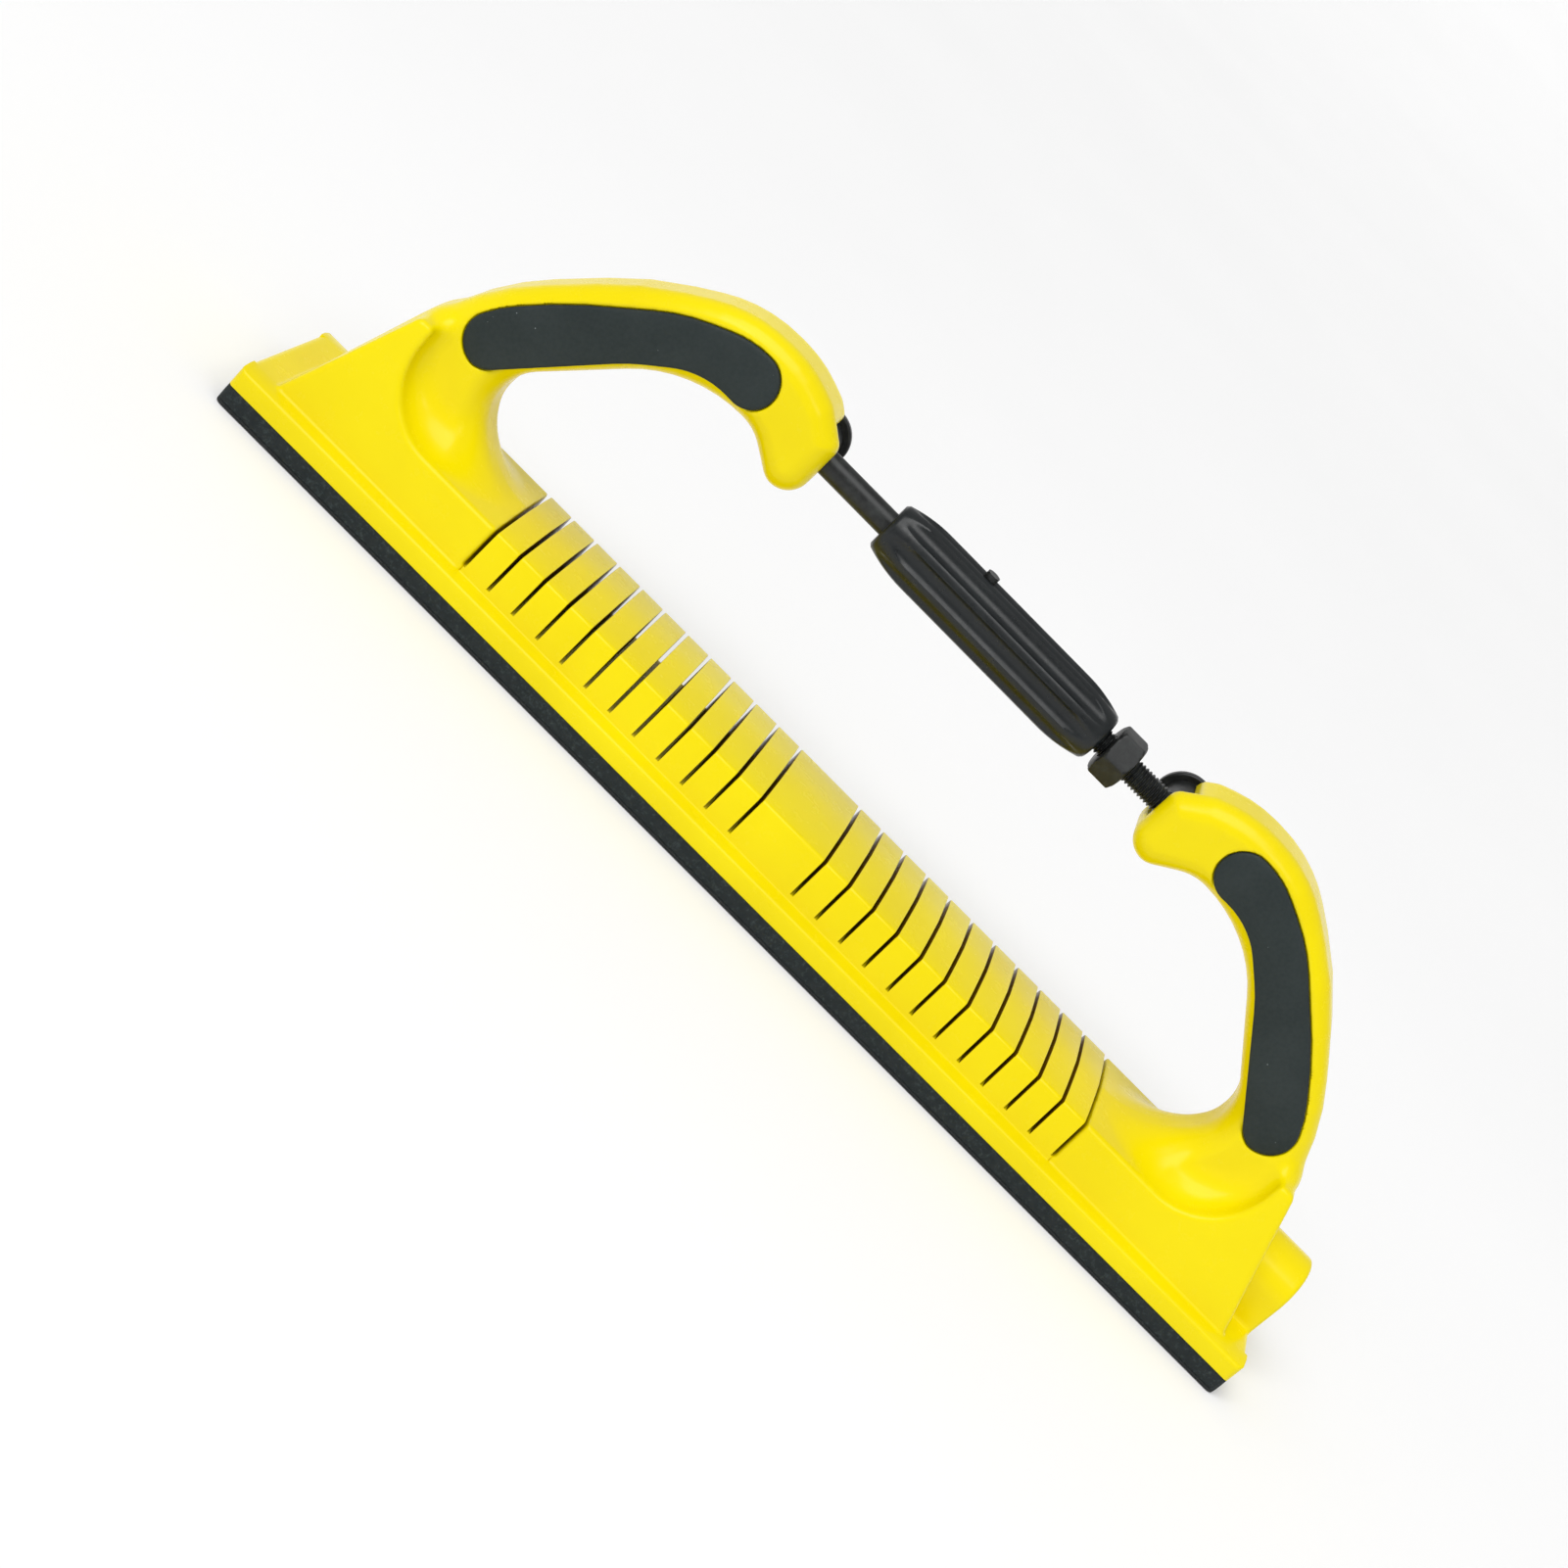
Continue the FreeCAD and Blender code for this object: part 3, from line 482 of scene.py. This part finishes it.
def skin(field, low, step):
    """Vertices and quads of a field's zero surface, one vertex for each cell it crosses."""
    solid = field < 0
    cells = np.array(field.shape) - 1
    corners = np.array([(i, j, k) for i in (0, 1) for j in (0, 1) for k in (0, 1)])
    count = np.zeros(cells, np.int8)
    for i, j, k in corners:
        count += solid[i:cells[0] + i, j:cells[1] + j, k:cells[2] + k]
    crossed = (count > 0) & (count < 8)
    cell = np.argwhere(crossed)
    values = np.stack([field[tuple((cell + c).T)] for c in corners], 1)
    total, hits = np.zeros((len(cell), 3)), np.zeros(len(cell))
    for i, start in enumerate(corners):
        for j in range(i + 1, 8):
            if np.abs(corners[j] - start).sum() != 1:
                continue
            pair = (values[:, i] < 0) != (values[:, j] < 0)
            share = values[pair, i] / (values[pair, i] - values[pair, j])
            total[pair] += start + (corners[j] - start) * share[:, None]
            hits[pair] += 1
    points = np.array(low) + step * (cell + total / hits[:, None])
    index = np.full(cells, -1)
    index[crossed] = np.arange(len(cell))
    quads = []
    for axis in range(3):
        p, q = (axis + 1) % 3, (axis + 2) % 3
        first = np.take(solid, range(cells[axis]), axis)
        second = np.take(solid, range(1, cells[axis] + 1), axis)
        for rising in (True, False):
            edge = np.argwhere((first & ~second) if rising else (~first & second))
            edge = edge[(edge[:, p] > 0) & (edge[:, p] < cells[p])
                        & (edge[:, q] > 0) & (edge[:, q] < cells[q])]
            ring = []
            for dp, dq in ((0, 0), (1, 0), (1, 1), (0, 1)):
                at = edge.copy()
                at[:, p] -= dp
                at[:, q] -= dq
                ring.append(index[tuple(at.T)])
            ring = np.stack(ring, 1)
            quads.append(ring if rising else ring[:, ::-1])
    return points, np.concatenate(quads)


ARM_HALF = 13.0
KERF_END = BLOCK_START + KERF_WIDTH / 2
ARM_OUTSIDE = [(186, 18, 0), (170.8, 68.9, 80), (138.7, 103.3, 105), (110.2, 121.8, 45), (87.4, 121.8, 38),
               (76.2, 117.6, 9), (66.8, 110.4, 4.2)]
ARM_INSIDE = [(66.8, 83.2, 7.5), (87.8, 96.8, 13), (111.9, 96.8, 44), (146.8, 58.4, 16),
              (146.8, 47.6, 14), (133.6, 26, 0)]
GUSSET = [(KERF_END, 8, 0), (191.2, 8, 0), (190.2, WALL_FOOT_Z, 0), (174.6, 55.2, 2.6), (169.4, 55.2, 1.5),
          (168.4, WALL_TOP_Z, 22.5), (KERF_END, WALL_TOP_Z, 0)]
GRIP = [(171, 52.5, 8.5), (161.5, 71.2, 40), (148.3, 86, 80), (123.6, 107.5, 60), (104.7, 116.2, 30),
        (89.2, 116.4, 8.5), (89.2, 99.5, 8), (108.5, 100, 25), (125, 86.4, 60), (153.6, 53.9, 9)]
GRIP_FLOOR, GRIP_FACE = 11.4, 13.7
BORE_Z, BORE_RADIUS, SPOUT_HALF, SPOUT_START = 24.8, 11.0, 13.0, 172.0
PIVOT_X, PIVOT_RADIUS = 74.0, 7.06


def arm_field(x, y, z):
    """The hooked arm: rounder inside, where the fingers go, than outside."""
    outline = rounded(ARM_OUTSIDE + ARM_INSIDE, 6)
    flat = distance(outline, x, z)
    reach = np.hypot(x - 110.0, z - 60.0)
    rounding = np.clip(7.0 + (46.0 - reach) * 0.5, 7.0, 9.5)
    return both(flat, np.abs(y) - ARM_HALF, rounding)


def block_field(x, y, z):
    """The end of the board under the arm, with its gusset standing up at the end wall."""
    lean = (WALL_FOOT_Y - WALL_TOP_Y) / (WALL_TOP_Z - WALL_FOOT_Z)
    crown = (RIDGE - WALL_TOP_Z) * (1 - np.minimum(np.abs(y) / WALL_TOP_Y, 1))
    profile = distance(rounded(GUSSET, 6), x, z - crown)
    walls = (np.abs(y) - WALL_FOOT_Y + lean * (z - WALL_FOOT_Z)) / math.hypot(1, lean)
    block = both(profile, walls, 1.4)
    slope = (WALL_FOOT_Z - FLANGE_EDGE) / (HALF_WIDTH - WALL_FOOT_Y)
    cover = (z - FLANGE_EDGE - slope * (HALF_WIDTH - np.abs(y))) / math.hypot(1, slope)
    plan = both(np.abs(y) - HALF_WIDTH, x - HALF_LENGTH, CORNER)
    flange = both(both(plan, np.maximum(cover, z - WALL_FOOT_Z), 1.6), PAD_TOP - z, 0.4)
    under_kerf = np.maximum(np.abs(y) - 28.9, np.abs(z - KERF_FLOOR + 4) - 4)
    joined = melted(block, flange, 0.9)
    joined = np.minimum(joined, np.maximum(under_kerf, x - 122.0))
    return np.maximum(joined, BLOCK_START + 0.02 - x)


def end_field(x, y, z, spout):
    """A whole end block; the right one has the dust spout."""
    fillet = np.clip(5.0 + (172.0 - x) * 0.3, 4.0, 13.0)
    solid = melted(arm_field(x, y, z), block_field(x, y, z), fillet)
    if spout:
        arch = np.where(z > BORE_Z, np.hypot(y, z - BORE_Z), np.abs(y)) - SPOUT_HALF
        tube = both(arch, between(x, SPOUT_START, HALF_LENGTH), 1.2)
        tube = np.maximum(tube, PAD_TOP + 3 - z)
        solid = melted(solid, tube, 0.8)
        bore = np.maximum(np.hypot(y, z - BORE_Z) - BORE_RADIUS, SPOUT_START - x)
        solid = without(solid, bore, 0.5)
    well = np.maximum(np.maximum(between(x, 156.5, 172.5), np.abs(y) - 8), between(z, 10, BORE_Z))
    channel = np.maximum(np.maximum(np.abs(y) - CHANNEL_HALF, z - CHANNEL_TOP), x - 178.0)
    solid = np.maximum(solid, -channel)
    if spout:
        solid = np.maximum(solid, -well)
    pocket = both(distance(rounded(GRIP, 6), x, z) - 0.25, GRIP_FLOOR - 0.2 - np.abs(y), 0.3)
    solid = without(solid, pocket, 0.4)
    mouth = np.maximum(np.maximum(x - 72.6, -5 - y), 98.5 - z)
    pivot = np.maximum(np.hypot(x - PIVOT_X, z - ADJUSTER_Z) - PIVOT_RADIUS, -5 - y)
    solid = without(solid, mouth, 0.8)
    return without(solid, pivot, 0.5)


def grid(low, high, step):
    """Coordinates of a grid that can be broadcast together."""
    axes = [np.arange(a, b + step, step) for a, b in zip(low, high)]
    return np.meshgrid(*axes, indexing="ij", sparse=True)


def fleshed(name, field, low, high, step, mirror, body, slot, material):
    """A piece skinned from a field, or its mirror image for the left end."""
    x, y, z = grid(low, high, step)
    points, quads = skin(field(x, y, z), low, step)
    if mirror:
        points[:, 0] *= -1
        quads = quads[:, ::-1]
    return piece(name, points, quads.tolist(), body, slot, material, sharp=80)


def grip_field(sign):
    """One soft inlay, crowned between its edges."""
    def field(x, y, z):
        flat = distance(rounded(GRIP, 6), x, z)
        across = sign * y
        crown = 0.55 * (1 - np.clip(-flat / 7.0, 0, 1)) ** 2
        return both(flat, np.maximum(across - GRIP_FACE + crown, GRIP_FLOOR - across), 0.7)
    return field


def handles():
    """End blocks with their handles, and the soft grips let into them."""
    step = 0.65
    fine = 0.45
    for side in ("right", "left"):
        body, mirror = f"{side}_end", side == "left"
        block = fleshed(f"handle_{side}", lambda x, y, z: end_field(x, y, z, not mirror),
                        (64.0, -36.3, 5.0), (201.5, 36.3, 123.5), step, mirror, body, "body", YELLOW)
        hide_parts(f"{side}_end_block")
        for half, sign in (("near", -1), ("far", 1)):
            low_y, high_y = sorted((sign * (GRIP_FLOOR - 1), sign * (GRIP_FACE + 1)))
            inlay = fleshed(f"grip_{side}_{half}", grip_field(sign), (86.0, low_y, 50.0),
                            (171.0, high_y, 119.0), fine, mirror, body, "grip", GRIP_RUBBER)
            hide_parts(f"{side}_grips")


# ---------------------------------------------------------------- adjuster
def turned(name, radius_at, xs, sides, body, slot, material, z=ADJUSTER_Z, bore=0.0):
    """A closed skin round the adjuster's axis, with radius_at(x, angle) outside and a plain bore."""
    angles = [2 * math.pi * i / sides for i in range(sides)]
    rings = [[(x, radius_at(x, a) * math.cos(a), z + radius_at(x, a) * math.sin(a)) for a in angles]
             for x in xs]
    ends = [[(x, bore * math.cos(a), z + bore * math.sin(a)) for a in angles] for x in (xs[-1], xs[0])]
    loops = rings + (ends if bore else [])
    vertices = [p for loop in loops for p in loop]
    faces = []
    pairs = list(zip(range(len(loops)), list(range(1, len(loops))) + [0]))
    if not bore:
        pairs = pairs[:-1]
    for a, b in pairs:
        for i in range(sides):
            j = (i + 1) % sides
            faces.append((a * sides + i, b * sides + i, b * sides + j, a * sides + j))
    if not bore:
        faces.append(tuple(range(sides)))
        faces.append(tuple(range((len(loops) - 1) * sides, len(loops) * sides))[::-1])
    return piece(name, vertices, faces, body, slot, material)


def sleeve_radius(x, angle):
    """Fluted grip sleeve: eight narrow ribs between hollow flutes, on a taper at both ends."""
    taper, end_radius, flute_centre, flute = 15.0, 7.8, 12.1, 3.6
    from_end = SLEEVE_HALF - abs(x)
    edge = min(1.0, from_end / taper)
    full = end_radius + (SLEEVE_RADIUS - end_radius) * (1 - (1 - edge) ** 2)
    offset = (angle + math.pi / 8) % (math.pi / 4) - math.pi / 8
    across = flute_centre * math.sin(offset)
    hollow = full
    if abs(across) < flute:
        lift = max(0.0, 4.0 - from_end) ** 2 * 0.14
        hollow = flute_centre * math.cos(offset) - math.sqrt(flute ** 2 - across ** 2) + lift
    gap = full - hollow
    soft = 0.2
    blend = 0.5 * (gap + math.sqrt(gap * gap + soft * soft)) - 0.5 * soft
    return full - max(0.0, blend) - 0.7 * max(0.0, 0.8 - from_end)


ROD_BORE = 4.06
THREAD_PITCH = 1.25


def thread_radius(x, angle):
    """Right-hand 60 degree thread with small flats."""
    phase = (x / THREAD_PITCH - angle / (2 * math.pi)) % 1.0
    tooth = min(1.0, max(0.0, abs(phase - 0.5) * 2.6 - 0.15))
    return 4.0 - 0.62 * tooth


def nut_radius(x, angle):
    """Hexagon, flats at top and bottom, with both ends chamfered to a cone."""
    low, high = cad("lock_nut")[0].x, cad("lock_nut")[1].x
    flat = (cad("lock_nut")[1].z - cad("lock_nut")[0].z) / 2
    local = (angle - math.pi / 2 + math.pi / 6) % (math.pi / 3) - math.pi / 6
    hexagon = flat / math.cos(local)
    depth = min(x - low, high - x)
    cone = flat * 0.95 + depth * 1.9
    return min(hexagon, cone, flat * 1.145)


def adjuster():
    """The turning sleeve, the threaded and plain rods and the lock nut."""
    step = 1.4
    inner = list(np.arange(-SLEEVE_HALF + 1.6, SLEEVE_HALF - 1.5, step))
    ends = [SLEEVE_HALF - d for d in (0.8, 0.4, 0.0)]
    xs = [-e for e in reversed(ends)] + inner + ends
    sleeve = turned("sleeve_grip", sleeve_radius, xs, 160, "sleeve", "sleeve", SLEEVE, bore=ROD_BORE)
    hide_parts("adjuster_sleeve")
    start, end = cad("right_rod")[0].x, cad("right_rod")[1].x - 6
    rod = turned("screw_right", thread_radius, list(np.arange(start, end, THREAD_PITCH / 10)), 40,
                 "right_rod", "rod", STEEL)
    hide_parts("right_rod")
    low, high = cad("lock_nut")[0].x, cad("lock_nut")[1].x
    chamfer = (0.0, 0.25, 0.6, 1.0, 1.5)
    marks = [low + d for d in chamfer] + [high - d for d in reversed(chamfer)]
    nut = turned("nut_hex", nut_radius, marks, 96, "lock_nut", "nut", NUT_STEEL, bore=ROD_BORE)
    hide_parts("lock_nut")


def finish_cad(node, material, bevel=0.25):
    """Keeps a CAD node, with eased edges and its material."""
    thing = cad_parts[node]
    thing.data.materials.clear()
    thing.data.materials.append(material)
    ease = thing.modifiers.new("ease", "BEVEL")
    ease.width = bevel * MM
    ease.segments = 2
    ease.limit_method = "ANGLE"
    ease.angle_limit = math.radians(40)


# ---------------------------------------------------------------- stage
def area_light(name, place, target, size, power):
    """A rectangular soft box that looks at a point."""
    data = bpy.data.lights.new(name, "AREA")
    data.shape = "RECTANGLE"
    data.size, data.size_y = size
    data.energy = power
    lamp = bpy.data.objects.new(name, data)
    bpy.context.scene.collection.objects.link(lamp)
    lamp.location = place
    lamp.rotation_euler = (Vector(target) - Vector(place)).to_track_quat("-Z", "Y").to_euler()


def sun(name, towards, strength, spread):
    """A broad, even light from far away."""
    data = bpy.data.lights.new(name, "SUN")
    data.energy = strength
    data.angle = math.radians(spread)
    lamp = bpy.data.objects.new(name, data)
    bpy.context.scene.collection.objects.link(lamp)
    lamp.rotation_euler = Vector(towards).to_track_quat("-Z", "Y").to_euler()


def sweep_floor(flat, reach, height):
    """A pale floor that curves up into a low backdrop all round, in metres."""
    turns, bend = 96, 10
    rings = [(0.01, 0), (flat / 2, 0), (flat, 0)]
    for k in range(1, bend + 1):
        a = math.pi / 2 * k / bend
        rings.append((flat + (reach - flat) * math.sin(a), height * (1 - math.cos(a))))
    angles = [2 * math.pi * i / turns for i in range(turns)]
    vertices = [(r * math.cos(a), r * math.sin(a), z - 0.0002) for r, z in rings for a in angles]
    faces = [(s * turns + i, (s + 1) * turns + i, (s + 1) * turns + (i + 1) % turns,
              s * turns + (i + 1) % turns)
             for s in range(len(rings) - 1) for i in range(turns)]
    faces.append(tuple(range(turns)))
    mesh = bpy.data.meshes.new("floor")
    mesh.from_pydata(vertices, [], faces)
    mesh.shade_smooth()
    floor = bpy.data.objects.new("floor", mesh)
    bpy.context.scene.collection.objects.link(floor)
    return floor


def studio():
    """Pale floor, even white surroundings, one broad key and soft boxes for the highlights."""
    world = bpy.data.worlds.new("studio")
    bpy.context.scene.world = world
    world.use_nodes = True
    world.node_tree.nodes["Background"].inputs["Color"].default_value = (1, 1, 1, 1)
    world.node_tree.nodes["Background"].inputs["Strength"].default_value = 0.46
    sun("key", (0.25, 0.55, -1.0), 1.7, 45)
    area_light("box_left", (-0.6, -0.75, 0.85), (0, 0, 0.08), (0.30, 0.20), 1.0)
    area_light("box_right", (0.45, -0.8, 1.0), (0, 0, 0.08), (0.30, 0.20), 1.0)
    floor = sweep_floor(3.0, 9.0, 2.5)
    n = Nodes("floor_white")
    n.base(n.mix(n.ramp(n.noise(3, 2), 0, 1, 0.3, 0.7), (0.96, 0.96, 0.96), (0.975, 0.975, 0.975)))
    n.shader.inputs["Roughness"].default_value = 0.9
    n.shader.inputs["Specular IOR Level"].default_value = 0.1
    floor.data.materials.append(n.material)
    settings = bpy.context.scene.view_settings
    settings.view_transform = "Standard"
    settings.look = "None"


def camera():
    """The camera: turned, tipped down towards the board and then rolled about its own axis."""
    data = bpy.data.cameras.new("camera")
    data.sensor_width = 36
    data.lens = 67.41
    data.clip_start = 0.01
    view = bpy.data.objects.new("camera", data)
    bpy.context.scene.collection.objects.link(view)
    down, swing = math.radians(20.393), math.radians(3.546)
    roll = math.radians(46.3835)
    forward = Vector((math.sin(swing) * math.cos(down), math.cos(swing) * math.cos(down), -math.sin(down)))
    right = Vector((math.cos(swing), -math.sin(swing), 0))
    up = right.cross(forward)
    turned_right = math.cos(roll) * right + math.sin(roll) * up
    turned_up = -math.sin(roll) * right + math.cos(roll) * up
    place = Matrix.Identity(4)
    for i, axis in enumerate((turned_right, turned_up, -forward, Vector((-59.364, -798.385, 323.851)) * MM)):
        place.col[i][:3] = axis
    view.matrix_world = place
    bpy.context.scene.camera = view


board_blocks()
flange_rails()
pads()
handles()
adjuster()
for rod_node in ("left_rod", "left_pivot_barrel", "right_pivot_barrel", "swivel_pin"):
    finish_cad(rod_node, STEEL)
studio()
camera()
